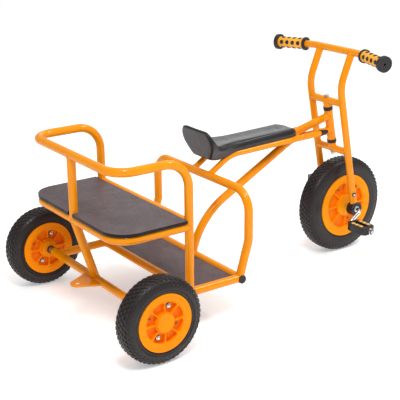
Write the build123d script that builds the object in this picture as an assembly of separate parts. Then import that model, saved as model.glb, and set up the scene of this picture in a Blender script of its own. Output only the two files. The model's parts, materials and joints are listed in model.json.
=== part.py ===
from build123d import *
import os
from math import asin, cos, degrees, radians, sin, tan

# Toddler tricycle: direct-drive front wheel, long saddle, rear bench for two with a hand rail.
# Millimetres, +X forward, +Y to the rider's left, +Z up. The origin is on the ground, midway
# along the tricycle. The rear frame is placed forward of the rear axle, the front of it back
# from the front axle, and the fork along its own raked axis.

# Wheels
WHEELBASE = 938.0
REAR_TYRE_D = 244.0
REAR_TYRE_WIDTH = 69.0
REAR_TYRE_SIDE = 40.5    # height of the tyre's side, from the rim's flange
FRONT_TYRE_D = 320.0
FRONT_TYRE_WIDTH = 71.0
FRONT_TYRE_SIDE = 54.5
RIM_INSET = 1.0          # the rim's flange stands back from the tyre's side
FLANGE = 4.0             # thickness of the rim's flange
BEAD = 5.0               # depth of the tyre's seat inside the flange
TYRE_SHOULDER = 15.0     # the flat crown ends this far from the tyre's side
TYRE_ROUND = 11.0
FLANGE_RING = 0.23       # width of the flange's flat ring, as a share of its radius
FLANGE_STEP = 2.5        # from the flat ring down to the ribs
POCKET_RING = 2.5        # ledge left between the pockets and the step, and round the hub
POCKETS = 8
POCKET_DEPTH = 14.0      # below the flat ring
POCKET_ROUND = 6.0       # outer corners of a pocket
RIB = 3.0
REAR_HUB_D = 54.0
FRONT_HUB_D = 70.0
HUB_CAP = 3.0
HUB_INNER_D = 50.0
HUB_INNER = 13.0         # the rear hub stands out this far on its inner side
HUB_BEVEL = 2.5
BORE_GAP = 0.05          # radial, in every bearing
END_PLAY = 0.3           # between what turns and what it turns against

# Rear axle
AXLE_TUBE_OUT = 10.0     # the axle tube's end beyond the side rails
STUB_D = 12.0
STUB_REACH = 24.5        # from the axle tube to the rear hub
AXLE_NUT_D = 22.0
AXLE_NUT = 8.0
SPACER_D = 17.0

# Tubes
FRAME_TUBE = 25.0
FORK_TUBE = 23.0
SADDLE_RAIL = 18.0
COPE = 3.0               # a coped tube's centreline ends this far short of the other's

# Lower frame and foot board
FRAME_Z = 120.0
HALF_WIDTH = 235.5       # centrelines of side rails, posts and arch
FOOT_REAR_X = 171.0
FOOT_LENGTH = 166.0
FOOT_BOARD = 9.0
BOARD_GAP = 0.3
PLUG = 3.0

# Arch over the front of the foot board
ARCH_FORWARD = 32.0
ARCH_HEIGHT = 252.0
ARCH_BEND = 60.0
KNEE_HEIGHT = 108.0
KNEE_BEND = 60.0

# Bench and its hand rail
BENCH_Z = 338.0
BENCH_BOARD = 9.0
BENCH_REAR = 61.0        # behind the rear axle
BENCH_CORNER = 60.0
POST_BACK = 7.0          # behind the rear cross tube
HAND_RAIL_HEIGHT = 165.0
HAND_RAIL_BEND = 75.0

# Tow hitch
HITCH_PLATE = 6.0
HITCH_REAR = 62.0
HITCH_TIP = 20.0
HITCH_HALF = 54.0
HITCH_HOLE_D = 20.0

# Steering
RAKE = 10.9
TYRE_GAP = 30.5          # from the front tyre to the lower cross tube
LEG_GAP = 25.0           # from the front tyre's side to a fork leg
BOSS_D = 27.0
BOSS = 10.0
BUSH_D = 31.0
BUSH = 11.0
HEAD_D = 28.0
HEAD_WALL = 4.0
HEAD_LENGTH = 102.0
BOLT_D = 10.0
NUT_D = 19.0
NUT = 8.0
HOUSING_D = 46.0
HOUSING = 24.0

# Handlebar
BAR_HEIGHT = 152.0       # above the upper cross tube, along the steering axis
BAR_FORWARD = 61.0
KNEE_OVER_CROSS = 58.0   # where the legs turn forward, above the upper cross tube
LEG_BEND = 110.0
BAR_STRAIGHT = 28.0      # outside the legs, before the bar sweeps back
BAR_SWEPT = 140.0
BAR_SWEEP = 30.5
BAR_DROP = 7.0
BAR_BEND = 60.0
GRIP_START = 35.0        # outside the bar's bend
GRIP_CORE = 3.0
GRIP_SLEEVE = 3.0
GRIP_FLANGE_D = 43.0
GRIP_FLANGE = 6.0
GRIP_CAP_D = 50.0
GRIP_CAP = 11.0
GRIP_CAP_OVER = 2.0
GRIP_HOLE_D = 8.0

# Cranks and pedals
CRANK_D = 13.0
CRANK = 64.0
CRANK_ANGLE = 25.0       # the right crank points back and this far below level
CRANK_SPLAY = 9.0
CRANK_BEND = 16.0
CRANK_STRAIGHT = 3.0
PEDAL_GAP = 13.0
PEDAL_WIDTH = 82.0
PEDAL_DEPTH = 58.0
PEDAL_END = 42.0         # fore and aft, at the pedal's ends
PEDAL_THICK = 24.0
PEDAL_ROUND = 12.0
PEDAL_SLOT = 15.0
PEDAL_SLOT_LENGTH = 60.0
PEDAL_SLEEVE = 19.0
PAD_ROWS = 3
PAD_PITCH = 17.0
PAD_LENGTH = 12.0        # along the spindle
PAD_WIDTH = 9.0
PAD_INSET = 4.0          # from the slot
PAD_HEIGHT = 1.5
PEDAL_NUT_D = 20.0
PEDAL_NUT = 9.0

# Main tube and top tube
MAIN_UP = 30.0           # on the head tube, from its lower end
MAIN_KNEE_BACK = 216.0
MAIN_KNEE_DROP = 3.0     # below the main tube's end at the head
MAIN_FOOT_FORWARD = 29.0
MAIN_FOOT_HEIGHT = 108.0
MAIN_BEND = 80.0
MAIN_FOOT_BEND = 235.0
TOP_DOWN = 21.0          # on the head tube, from its upper end
TOP_KNEE_FORWARD = 16.0
TOP_KNEE_HEIGHT = 20.0
TOP_BEND = 60.0

# Saddle, its rails and their buffers
SADDLE_RAIL_GAP = 18.5   # between the main tube and each rail
RAIL_BACK = 132.0        # front end of the rails, back from the front axle
RAIL_OVER_MAIN = 14.0    # above the main tube's knee
RAIL_KNEE_FORWARD = 81.0
RAIL_KNEE_HEIGHT = 50.0
RAIL_BEND = 110.0
BRIDGE_D = 16.0
BUFFER = 30.0
BUFFER_D = 22.0
BUFFER_TIP_D = 12.0
SADDLE_GAP = 0.3
SADDLE_NOSE_BACK = 80.0  # behind the rails' front end
SADDLE_TAIL = 24.0       # behind the arch's centreline
SADDLE_WIDTH = 94.0
SADDLE_THICK = 30.0
SADDLE_BACK_HEIGHT = 104.0
SADDLE_TOP = 0.80        # share of its width that the dished top takes
SADDLE_DISH = 0.10       # depth of the dish, as a share of the thickness
SADDLE_DISH_ROUND = 120.0
SADDLE_TOP_ROUND = 6.0
SADDLE_SHOULDER_ROUND = 2.5
SADDLE_FOOT_ROUND = 6.0

# Driven places
rear_r = REAR_TYRE_D / 2
front_r = FRONT_TYRE_D / 2
rear_rim_d = REAR_TYRE_D - 2 * REAR_TYRE_SIDE
front_rim_d = FRONT_TYRE_D - 2 * FRONT_TYRE_SIDE
rear_x = -(WHEELBASE + front_r - rear_r) / 2
front_x = rear_x + WHEELBASE
rake = radians(RAKE)
post_x = FOOT_REAR_X - POST_BACK
foot_front_x = FOOT_REAR_X + FOOT_LENGTH
arch_x = foot_front_x + ARCH_FORWARD
arch_z = FRAME_Z + ARCH_HEIGHT
hand_rail_z = BENCH_Z + HAND_RAIL_HEIGHT
seat_frame_z = BENCH_Z - BENCH_BOARD - FRAME_TUBE / 2
axle_tube_half = HALF_WIDTH + FRAME_TUBE / 2 + AXLE_TUBE_OUT
hub_inner_y = axle_tube_half + STUB_REACH
rear_rim_width = REAR_TYRE_WIDTH - 2 * RIM_INSET
front_rim_width = FRONT_TYRE_WIDTH - 2 * RIM_INSET
rear_wheel_y = hub_inner_y + HUB_INNER + rear_rim_width / 2
leg_half = FRONT_TYRE_WIDTH / 2 + LEG_GAP + FORK_TUBE / 2
cross_low = front_r + TYRE_GAP + FORK_TUBE / 2
head_low = cross_low + FORK_TUBE / 2 + BOSS + END_PLAY + BUSH
head_high = head_low + HEAD_LENGTH
cross_high = head_high + BUSH + END_PLAY + BOSS + FORK_TUBE / 2
bar_along = cross_high + BAR_HEIGHT


def at(x, y, z):
    """A point given forward of the rear axle."""
    return Vector(rear_x + x, y, z)


def back(x, y, z):
    """A point given back from the front axle."""
    return Vector(front_x - x, y, z)


def steer(along, y=0.0, forward=0.0):
    """A point along the steering axis from the front axle, and forward of it."""
    return Vector(front_x - along * sin(rake) + forward * cos(rake), y,
                  front_r + along * cos(rake) + forward * sin(rake))


def bent_path(points, radii):
    """Straight runs joined by tangent arcs, one radius for each inner corner."""
    edges, start = [], points[0]
    for before, corner, after, radius in zip(points, points[1:], points[2:], radii):
        inward, onward = (before - corner).normalized(), (after - corner).normalized()
        half = radians(inward.get_angle(onward)) / 2
        reach = radius / tan(half)
        enter, leave = corner + inward * reach, corner + onward * reach
        middle = corner + (inward + onward).normalized() * (radius / sin(half) - radius)
        edges.append(Edge.make_line(start, enter))
        edges.append(Edge.make_three_point_arc(enter, middle, leave))
        start = leave
    edges.append(Edge.make_line(start, points[-1]))
    return Wire(edges)


def tube(diameter, points, radii):
    """A round tube, closed inside, along a bent path."""
    path = bent_path(points, radii)
    section = Plane(origin=path @ 0, z_dir=path % 0) * Circle(diameter / 2)
    return sweep(section, path=path)


def coped(end, before):
    """A tube's end, drawn back from the centreline that it is coped to."""
    return end + (before - end).normalized() * COPE


def fitted(shape, *others):
    """What is left of a tube, without its offcuts, where others run through its ends."""
    for other in others:
        shape = shape - other
    return shape.solids().sort_by(SortBy.VOLUME)[-1]


def rod(diameter, start, end):
    """A straight cylinder between two points."""
    return extrude(Plane(origin=start, z_dir=end - start) * Circle(diameter / 2),
                   (end - start).length)


def strut(diameter, start, end):
    """A straight tube between two others, coped at both ends."""
    return rod(diameter, coped(start, end), coped(end, start))


def turned(points, rounds=()):
    """A ring or disc about the Y axis, from radius and place along the axle.

    Each entry of rounds is the index of a corner and its fillet's radius.
    """
    face = make_face(Polyline(*points, close=True))
    corners = [face.vertices().sort_by_distance((*points[i], 0))[0] for i, _ in rounds]
    for corner, (_, radius) in zip(corners, rounds):
        face = fillet(corner, radius)
    return revolve(face, Axis.Y)


def mirrored(shape):
    return mirror(shape, about=Plane.XZ)


def both_sides(points):
    """A path from the right end round to the left, from the points of its left half."""
    return [Vector(p.X, -p.Y, p.Z) for p in points] + points[::-1]


parts = {}

# Rear axle tube, lower frame and foot board
axle_tube = rod(FRAME_TUBE, at(0, -axle_tube_half, rear_r), at(0, axle_tube_half, rear_r))
cross_half = HALF_WIDTH + FRAME_TUBE / 2
front_cross = rod(FRAME_TUBE, at(foot_front_x, -cross_half, FRAME_Z), at(foot_front_x, cross_half, FRAME_Z))
plug = rod(FRAME_TUBE, at(foot_front_x, cross_half, FRAME_Z), at(foot_front_x, cross_half + PLUG, FRAME_Z))
side_rail = strut(FRAME_TUBE, at(0, HALF_WIDTH, rear_r), at(foot_front_x, HALF_WIDTH, FRAME_Z))
side_rail = fitted(side_rail, axle_tube, front_cross)
rear_cross = strut(FRAME_TUBE, at(FOOT_REAR_X, -HALF_WIDTH, FRAME_Z), at(FOOT_REAR_X, HALF_WIDTH, FRAME_Z))
rear_cross = fitted(rear_cross, side_rail, mirrored(side_rail))
foot_board = Pos(at(FOOT_REAR_X + FOOT_LENGTH / 2, 0, FRAME_Z)) * Box(
    FOOT_LENGTH - FRAME_TUBE - 2 * BOARD_GAP, 2 * HALF_WIDTH - FRAME_TUBE - 2 * BOARD_GAP, FOOT_BOARD)
parts["axle_tube"] = axle_tube
parts["front_cross_tube"] = front_cross
parts["end_plug_left"], parts["end_plug_right"] = plug, mirrored(plug)
parts["side_rail_left"], parts["side_rail_right"] = side_rail, mirrored(side_rail)
parts["rear_cross_tube"] = rear_cross
parts["foot_board"] = foot_board

# Arch
arch_foot, arch_knee = at(foot_front_x, HALF_WIDTH, FRAME_Z), at(arch_x, HALF_WIDTH, FRAME_Z + KNEE_HEIGHT)
arch_half = [coped(arch_foot, arch_knee), arch_knee, at(arch_x, HALF_WIDTH, arch_z)]
arch = tube(FRAME_TUBE, both_sides(arch_half), [KNEE_BEND, ARCH_BEND, ARCH_BEND, KNEE_BEND])
arch = fitted(arch, front_cross, side_rail, mirrored(side_rail))
parts["arch"] = arch

# Hand rail with its front posts, bench frame, rear post and strut
post_foot, post_top = at(post_x, HALF_WIDTH, FRAME_Z), at(post_x, HALF_WIDTH, hand_rail_z)
rail_half_path = [coped(post_foot, post_top), post_top, at(-BENCH_REAR, HALF_WIDTH, hand_rail_z)]
hand_rail = tube(FRAME_TUBE, both_sides(rail_half_path),
                 [HAND_RAIL_BEND, BENCH_CORNER, BENCH_CORNER, HAND_RAIL_BEND])
hand_rail = fitted(hand_rail, side_rail, mirrored(side_rail), rear_cross)
bench_front_z = BENCH_Z - FRAME_TUBE / 2
bench_front = strut(FRAME_TUBE, at(post_x, -HALF_WIDTH, bench_front_z), at(post_x, HALF_WIDTH, bench_front_z))
bench_front = fitted(bench_front, hand_rail)
seat_end, seat_corner = at(post_x, HALF_WIDTH, seat_frame_z), at(-BENCH_REAR, HALF_WIDTH, seat_frame_z)
seat_frame = tube(FRAME_TUBE, both_sides([coped(seat_end, seat_corner), seat_corner]), [BENCH_CORNER] * 2)
seat_frame = fitted(seat_frame, hand_rail, bench_front)
rear_post = strut(FRAME_TUBE, at(-BENCH_REAR, 0, seat_frame_z), at(-BENCH_REAR, 0, hand_rail_z))
rear_post = fitted(rear_post, hand_rail, seat_frame)
rear_strut = strut(FRAME_TUBE, at(-BENCH_REAR, 0, seat_frame_z), at(0, 0, rear_r))
rear_strut = fitted(rear_strut, seat_frame, axle_tube, rear_post)
parts["hand_rail"] = hand_rail
parts["bench_front_tube"] = bench_front
parts["seat_frame"] = seat_frame
parts["rear_post"] = rear_post
parts["rear_strut"] = rear_strut

# Bench board, notched round the rear post
board_front = post_x - FRAME_TUBE / 2 - BOARD_GAP
board_rear = -BENCH_REAR - FRAME_TUBE / 2
board_outline = Pos(rear_x + (board_front + board_rear) / 2, 0) * Rectangle(
    board_front - board_rear, 2 * HALF_WIDTH + FRAME_TUBE)
board_outline = fillet(board_outline.vertices().group_by(Axis.X)[0], BENCH_CORNER + FRAME_TUBE / 2)
notch_width = FRAME_TUBE + 2 * BOARD_GAP
notch = Pos(rear_x - BENCH_REAR, 0) * (
    Circle(notch_width / 2) + Pos(-FRAME_TUBE / 2, 0) * Rectangle(FRAME_TUBE, notch_width))
bench_board = Pos(0, 0, BENCH_Z - BENCH_BOARD) * extrude(board_outline - notch, BENCH_BOARD)
parts["bench_board"] = bench_board

# Tow hitch
hitch_tip = Pos(rear_x - HITCH_REAR, 0) * Circle(HITCH_TIP)
hitch_base = Edge.make_line((rear_x, HITCH_HALF), (rear_x, -HITCH_HALF))
hitch_hole = Pos(rear_x - HITCH_REAR, 0) * Circle(HITCH_HOLE_D / 2)
hitch = extrude(make_hull([*hitch_tip.edges(), hitch_base]) - hitch_hole, HITCH_PLATE)
parts["hitch_plate"] = Pos(0, 0, rear_r - HITCH_PLATE / 2) * hitch - axle_tube - rear_strut

# Head tube with its bushes, main tube and top tube
head_solid = rod(HEAD_D, steer(head_low), steer(head_high))
head_bore = HEAD_D - 2 * HEAD_WALL
main_top = steer(head_low + MAIN_UP)
main_knee = back(MAIN_KNEE_BACK, 0, main_top.Z - MAIN_KNEE_DROP)
main_foot = at(foot_front_x + MAIN_FOOT_FORWARD, 0, FRAME_Z + MAIN_FOOT_HEIGHT)
main_tube = tube(FRAME_TUBE, [
    coped(main_top, main_knee), main_knee, main_foot,
    coped(at(foot_front_x, 0, FRAME_Z), main_foot)], [MAIN_BEND, MAIN_FOOT_BEND])
main_tube = fitted(main_tube, head_solid, front_cross)
top_knee = main_knee + Vector(TOP_KNEE_FORWARD, 0, TOP_KNEE_HEIGHT)
top_end = main_knee - (main_knee - main_foot).normalized() * FRAME_TUBE
top_path = [coped(steer(head_high - TOP_DOWN), top_knee), top_knee, top_end]
top_tube = fitted(tube(FRAME_TUBE, top_path, [TOP_BEND]), head_solid, main_tube)
bolt_bore = rod(BOLT_D + 2 * BORE_GAP, steer(head_low - 2 * BUSH), steer(head_high + 2 * BUSH))
parts["head_tube"] = head_solid - rod(head_bore, steer(head_low), steer(head_high))
parts["main_tube"] = main_tube
parts["top_tube"] = top_tube
for name, seat, up in (("bush_low", head_low, -1), ("bush_high", head_high, 1)):
    bush = rod(BUSH_D, steer(seat), steer(seat + up * BUSH))
    parts[name] = bush + rod(head_bore, steer(seat), steer(seat - up * 2 * BUSH)) - bolt_bore

# Saddle rails with their buffers, tied to the main tube under the saddle's nose
rail_half = FRAME_TUBE / 2 + SADDLE_RAIL_GAP + SADDLE_RAIL / 2
rail_front = back(RAIL_BACK, rail_half, main_knee.Z + RAIL_OVER_MAIN)
rail_knee = at(arch_x + RAIL_KNEE_FORWARD, rail_half, arch_z + RAIL_KNEE_HEIGHT)
rail_run = (rail_front - rail_knee).normalized()
rail_path = [rail_front, rail_knee, coped(at(arch_x, rail_half, arch_z), rail_knee)]
saddle_rail = fitted(tube(SADDLE_RAIL, rail_path, [RAIL_BEND]), arch)
bridge_at = rail_front - rail_run * ((rail_front.X - main_knee.X) / rail_run.X)
bridge = rod(BRIDGE_D, Vector(bridge_at.X, -rail_half, bridge_at.Z), bridge_at)
bridge = bridge - saddle_rail - mirrored(saddle_rail) - main_tube - top_tube
buffer = loft([Plane(origin=rail_front, z_dir=rail_run) * Circle(BUFFER_D / 2),
               Plane(origin=rail_front + rail_run * BUFFER, z_dir=rail_run) * Circle(BUFFER_TIP_D / 2)])
parts["saddle_rail_left"], parts["saddle_rail_right"] = saddle_rail, mirrored(saddle_rail)
parts["rail_bridge_right"], parts["rail_bridge_left"] = bridge.solids().sort_by(Axis.Y)
parts["buffer_left"], parts["buffer_right"] = buffer, mirrored(buffer)

# Saddle: sections from the nose to the top of the raised back, on a spine that curls up. Each has
# a dished top, a bevel down to the shoulder halfway, and a side that narrows to the foot. The
# underside rests on the rails and is grooved for them, the bridge and the top tube.
nose_x, tail_x = rail_front.X - SADDLE_NOSE_BACK, rear_x + arch_x - SADDLE_TAIL
saddle_sections = (
    # place from tail to nose, height above the rails, tilt in degrees, width, thickness,
    # width of the foot, height of the shoulder
    (1.000, 0.145, -14, 0.36, 0.34, 0.90, 0.0),
    (0.984, 0.165, -8, 0.58, 0.66, 0.92, 0.0),
    (0.950, 0.185, -3, 0.82, 0.93, 0.94, 0.0),
    (0.870, 0.203, 0, 0.96, 1.00, 0.95, 0.0),
    (0.413, 0.210, 0, 1.02, 1.03, 0.95, 0.0),
    (0.268, 0.180, 8, 1.14, 1.38, 0.86, 0.10),
    (0.177, 0.158, 20, 1.32, 1.68, 0.74, 0.35),
    (0.109, 0.185, 34, 1.44, 1.70, 0.64, 0.45),
    (0.075, 0.425, 56, 1.48, 1.00, 0.86, 0.25),
    (0.036, 0.725, 68, 1.44, 0.52, 0.94, 0.0),
    (0.018, 0.870, 68, 1.28, 0.36, 0.94, 0.0),
)
sections = []
for along, up, tilt, wide, thick, foot, shoulder in saddle_sections:
    x = tail_x + along * (nose_x - tail_x)
    rail_z = rail_knee.Z + (x - rail_knee.X) * rail_run.Z / rail_run.X
    lean = radians(tilt)
    place = Plane(origin=(x, 0, rail_z + up * SADDLE_BACK_HEIGHT), x_dir=(0, 1, 0),
                  z_dir=(cos(lean), 0, -sin(lean)))
    half, rise, size = wide * SADDLE_WIDTH / 2, thick * SADDLE_THICK / 2, min(1, wide, thick)
    side = [Vector(half * foot, -rise), Vector(half, rise * shoulder), Vector(half * SADDLE_TOP, rise)]
    rounds = [SADDLE_FOOT_ROUND * size, SADDLE_SHOULDER_ROUND * size, SADDLE_TOP_ROUND * size]
    dish = Vector(0, rise - 2 * rise * SADDLE_DISH)
    outline = [Vector(0, -rise), *side, dish, *(Vector(-p.X, p.Y) for p in reversed(side)), Vector(0, -rise)]
    sections.append(place * make_face(bent_path(outline, [*rounds, SADDLE_DISH_ROUND * wide, *reversed(rounds)])))
# nose, straight seat, bend and back, each from its own stretch of the sections
saddle = loft(sections[:4]) + loft(sections[3:5]) + loft(sections[4:8]) + loft(sections[7:])
groove = tube(SADDLE_RAIL + 2 * SADDLE_GAP, rail_path, [RAIL_BEND])
saddle = saddle - groove - mirrored(groove) - tube(FRAME_TUBE + 2 * SADDLE_GAP, top_path, [TOP_BEND])
saddle = saddle - rod(BRIDGE_D + 2 * SADDLE_GAP, Vector(bridge_at.X, -rail_half, bridge_at.Z), bridge_at)
parts["saddle"] = saddle.solids().sort_by(SortBy.VOLUME)[-1]

# Fork: two bent legs, handlebar, two cross tubes with bosses, and the steering bolt
housing = rod(HOUSING_D, steer(0, leg_half - HOUSING / 2), steer(0, leg_half + HOUSING / 2))
crank_bore = rod(CRANK_D + 2 * BORE_GAP, steer(0, leg_half - HOUSING), steer(0, leg_half + HOUSING))
bar_turn = steer(bar_along, leg_half + BAR_STRAIGHT, BAR_FORWARD)
bar_end = bar_turn + Vector(-BAR_SWEEP, BAR_SWEPT, -BAR_DROP)
bar = tube(FORK_TUBE, both_sides([bar_end, bar_turn]), [BAR_BEND, BAR_BEND])
leg_knee = steer(cross_high + KNEE_OVER_CROSS, leg_half)
leg = tube(FORK_TUBE, [steer(0, leg_half), leg_knee,
                       coped(steer(bar_along, leg_half, BAR_FORWARD), leg_knee)], [LEG_BEND])
leg = fitted(leg, bar, housing)
parts["housing_left"], parts["housing_right"] = housing - crank_bore, mirrored(housing - crank_bore)
parts["handlebar"] = bar
parts["fork_leg_left"], parts["fork_leg_right"] = leg, mirrored(leg)
for name, along, up in (("cross_tube_low", cross_low, 1), ("cross_tube_high", cross_high, -1)):
    cross = strut(FORK_TUBE, steer(along, -leg_half), steer(along, leg_half))
    cross = cross + rod(BOSS_D, steer(along), steer(along + up * (FORK_TUBE / 2 + BOSS)))
    cross = cross - rod(BOLT_D, steer(along - FORK_TUBE), steer(along + FORK_TUBE))
    parts[name] = fitted(cross, leg, mirrored(leg))
bolt_low, bolt_high = cross_low - FORK_TUBE / 2, cross_high + FORK_TUBE / 2
bolt = rod(BOLT_D, steer(bolt_low - NUT), steer(bolt_high + NUT))
for seat, up in ((bolt_low, -1), (bolt_high, 1)):
    hexagon = Plane(origin=steer(seat), z_dir=steer(up) - steer(0)) * RegularPolygon(NUT_D / 2, 6)
    bolt = bolt + extrude(hexagon, NUT)
parts["steering_bolt"] = bolt

# Grips: a black core with a flange and an end cap, and the yellow sleeve on it
bar_run = (bar_end - bar_turn).normalized()
grip_start = bar_turn + bar_run * GRIP_START
sleeve_start = grip_start + bar_run * GRIP_FLANGE
sleeve_end = bar_end - bar_run * GRIP_CAP_OVER
core_d = FORK_TUBE + 2 * GRIP_CORE
core = rod(core_d, grip_start, bar_end) + rod(GRIP_FLANGE_D, grip_start, sleeve_start)
core = core + rod(GRIP_CAP_D, sleeve_end, sleeve_end + bar_run * GRIP_CAP)
core = core - rod(GRIP_HOLE_D, bar_end, bar_end + bar_run * GRIP_CAP) - rod(FORK_TUBE, bar_turn, bar_end)
sleeve = rod(core_d + 2 * GRIP_SLEEVE, sleeve_start, sleeve_end) - rod(core_d, grip_start, bar_end)
parts["grip_core_left"], parts["grip_core_right"] = core, mirrored(core)
parts["grip_sleeve_left"], parts["grip_sleeve_right"] = sleeve, mirrored(sleeve)


def tyre(diameter, width, rim_d):
    """Tyre with a flat crown, round shoulders and a seat on the rim."""
    r, half, lip = diameter / 2, width / 2, rim_d / 2
    inner = half - RIM_INSET - FLANGE
    profile = [(lip - BEAD, -inner), (lip, -inner), (lip, -half), (r - TYRE_SHOULDER, -half),
               (r, -half + TYRE_SHOULDER)]
    profile += [(x, -y) for x, y in reversed(profile)]
    return turned(profile, [(3, TYRE_ROUND), (4, TYRE_ROUND), (5, TYRE_ROUND), (6, TYRE_ROUND)])


def rim(rim_d, width, hub_d, bore):
    """Rim with a flange for the tyre, a step inside it, and thin ribs between pockets on each face."""
    r, half, hub = rim_d / 2, width / 2, hub_d / 2
    ring, foot = r * (1 - FLANGE_RING), r * (1 - FLANGE_RING) - FLANGE_STEP
    inner, low = half - FLANGE, half - FLANGE_STEP
    profile = [(bore / 2, half), (hub, half), (hub, low), (foot, low), (ring, half),
               (r, half), (r, inner), (r - BEAD, inner)]
    body = turned(profile + [(x, -y) for x, y in reversed(profile)])
    near, far, wedge = hub + POCKET_RING, foot - POCKET_RING, 180 / POCKETS
    inset_in, inset_out = degrees(asin(RIB / 2 / near)), degrees(asin(RIB / 2 / far))
    corners = [(radius * cos(radians(a)), radius * sin(radians(a))) for radius, a in (
        (near, -wedge + inset_in), (far, -wedge + inset_out), (far, wedge - inset_out), (near, wedge - inset_in))]
    outline = make_face([
        Line(corners[0], corners[1]), ThreePointArc(corners[1], (far, 0), corners[2]),
        Line(corners[2], corners[3]), ThreePointArc(corners[3], (near, 0), corners[0])])
    outline = fillet(outline.vertices().sort_by_distance((0, 0, 0))[2:], POCKET_ROUND)
    pocket = extrude(Plane.XZ.offset(half - POCKET_DEPTH) * outline, POCKET_DEPTH + FLANGE)
    for step in range(POCKETS):
        cut = Rot(0, 360 / POCKETS * (step + 0.5), 0) * pocket
        body = body - cut - mirrored(cut)
    return body


# Rear wheels on their stub axles
rear_place = Pos(at(0, rear_wheel_y, rear_r))
rear_rim = rim(rear_rim_d, rear_rim_width, REAR_HUB_D, STUB_D + 2 * BORE_GAP)
bore_r, boss_r, boss_root = STUB_D / 2 + BORE_GAP, HUB_INNER_D / 2, -rear_rim_width / 2
hub_boss = turned([(bore_r, boss_root - HUB_INNER), (boss_r - HUB_BEVEL, boss_root - HUB_INNER),
                   (boss_r, boss_root - HUB_INNER + HUB_BEVEL), (boss_r, boss_root), (bore_r, boss_root)])
hub_outer_y = rear_wheel_y + rear_rim_width / 2
cap_r = REAR_HUB_D / 2
hub_cap = turned([(0, 0), (cap_r, 0), (cap_r - HUB_BEVEL, HUB_CAP), (0, HUB_CAP)])
stub = rod(STUB_D, at(0, axle_tube_half, rear_r), at(0, hub_outer_y - HUB_CAP, rear_r))
stub = stub + rod(AXLE_NUT_D, at(0, axle_tube_half, rear_r), at(0, axle_tube_half + AXLE_NUT, rear_r))
stub = stub + rod(SPACER_D, at(0, axle_tube_half, rear_r), at(0, hub_inner_y - END_PLAY, rear_r))
for name, left in (
        ("rear_tyre", rear_place * tyre(REAR_TYRE_D, REAR_TYRE_WIDTH, rear_rim_d)),
        ("rear_rim", rear_place * (rear_rim + hub_boss)),
        ("hub_cap", Pos(at(0, hub_outer_y, rear_r)) * hub_cap),
        ("stub_axle", stub)):
    parts[name + "_left"], parts[name + "_right"] = left, mirrored(left)

# Front wheel with its crank axle: one bent bar from pedal to pedal
crank_angle = radians(CRANK_ANGLE)
arm = Vector(-CRANK * cos(crank_angle), 0, -CRANK * sin(crank_angle))
crank_turn = leg_half + HOUSING / 2 + CRANK_BEND + CRANK_STRAIGHT
crank_out = crank_turn + CRANK_SPLAY
pedal_y = crank_out + PEDAL_GAP + PEDAL_WIDTH / 2
nut_y = pedal_y + PEDAL_WIDTH / 2 + END_PLAY
crank = tube(CRANK_D, [
    steer(0, -nut_y) + arm, steer(0, -crank_out) + arm, steer(0, -crank_turn),
    steer(0, crank_turn), steer(0, crank_out) - arm, steer(0, nut_y) - arm], [CRANK_BEND] * 4)
for side in (-1, 1):
    end = steer(0, side * nut_y) - arm * side
    crank = crank + rod(PEDAL_NUT_D, end, end + Vector(0, side * PEDAL_NUT, 0))
    crank = crank + rod(SPACER_D, steer(0, side * front_rim_width / 2),
                        steer(0, side * (leg_half - HOUSING / 2 - END_PLAY)))
parts["front_tyre"] = Pos(steer(0)) * tyre(FRONT_TYRE_D, FRONT_TYRE_WIDTH, front_rim_d)
parts["front_rim"] = Pos(steer(0)) * rim(front_rim_d, front_rim_width, FRONT_HUB_D, CRANK_D)
parts["crank_axle"] = crank

# Pedals: a bulged body, open in the middle round the spindle's sleeve, with pads on both faces
half_w, half_d, half_end = PEDAL_WIDTH / 2, PEDAL_DEPTH / 2, PEDAL_END / 2
outline = make_face([
    Line((-half_end, -half_w), (half_end, -half_w)),
    ThreePointArc((half_end, -half_w), (half_d, 0), (half_end, half_w)),
    Line((half_end, half_w), (-half_end, half_w)),
    ThreePointArc((-half_end, half_w), (-half_d, 0), (-half_end, -half_w))])
outline = fillet(outline.vertices(), PEDAL_ROUND) - Rot(0, 0, 90) * SlotOverall(PEDAL_SLOT_LENGTH, PEDAL_SLOT)
pedal = extrude(outline, PEDAL_THICK / 2, both=True)
pedal = pedal + rod(PEDAL_SLEEVE, Vector(0, -half_w, 0), Vector(0, half_w, 0))
pad = Box(PAD_WIDTH, PAD_LENGTH, PEDAL_THICK + 2 * PAD_HEIGHT)
pad_x = (PEDAL_SLOT + PAD_WIDTH) / 2 + PAD_INSET
for row in (-1, 1):
    for step in range(PAD_ROWS):
        pedal = pedal + Pos(row * pad_x, (step - (PAD_ROWS - 1) / 2) * PAD_PITCH, 0) * pad
pedal = pedal - rod(CRANK_D + 2 * BORE_GAP, Vector(0, -half_w, 0), Vector(0, half_w, 0))
parts["pedal_left"] = Pos(steer(0, pedal_y) - arm) * pedal
parts["pedal_right"] = Pos(steer(0, -pedal_y) + arm) * pedal

os.makedirs("parts", exist_ok=True)
for name, shape in parts.items():
    export_step(shape, f"parts/{name}.step")
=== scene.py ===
import json
import math

import bmesh
import bpy
from mathutils import Matrix, Vector


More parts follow.
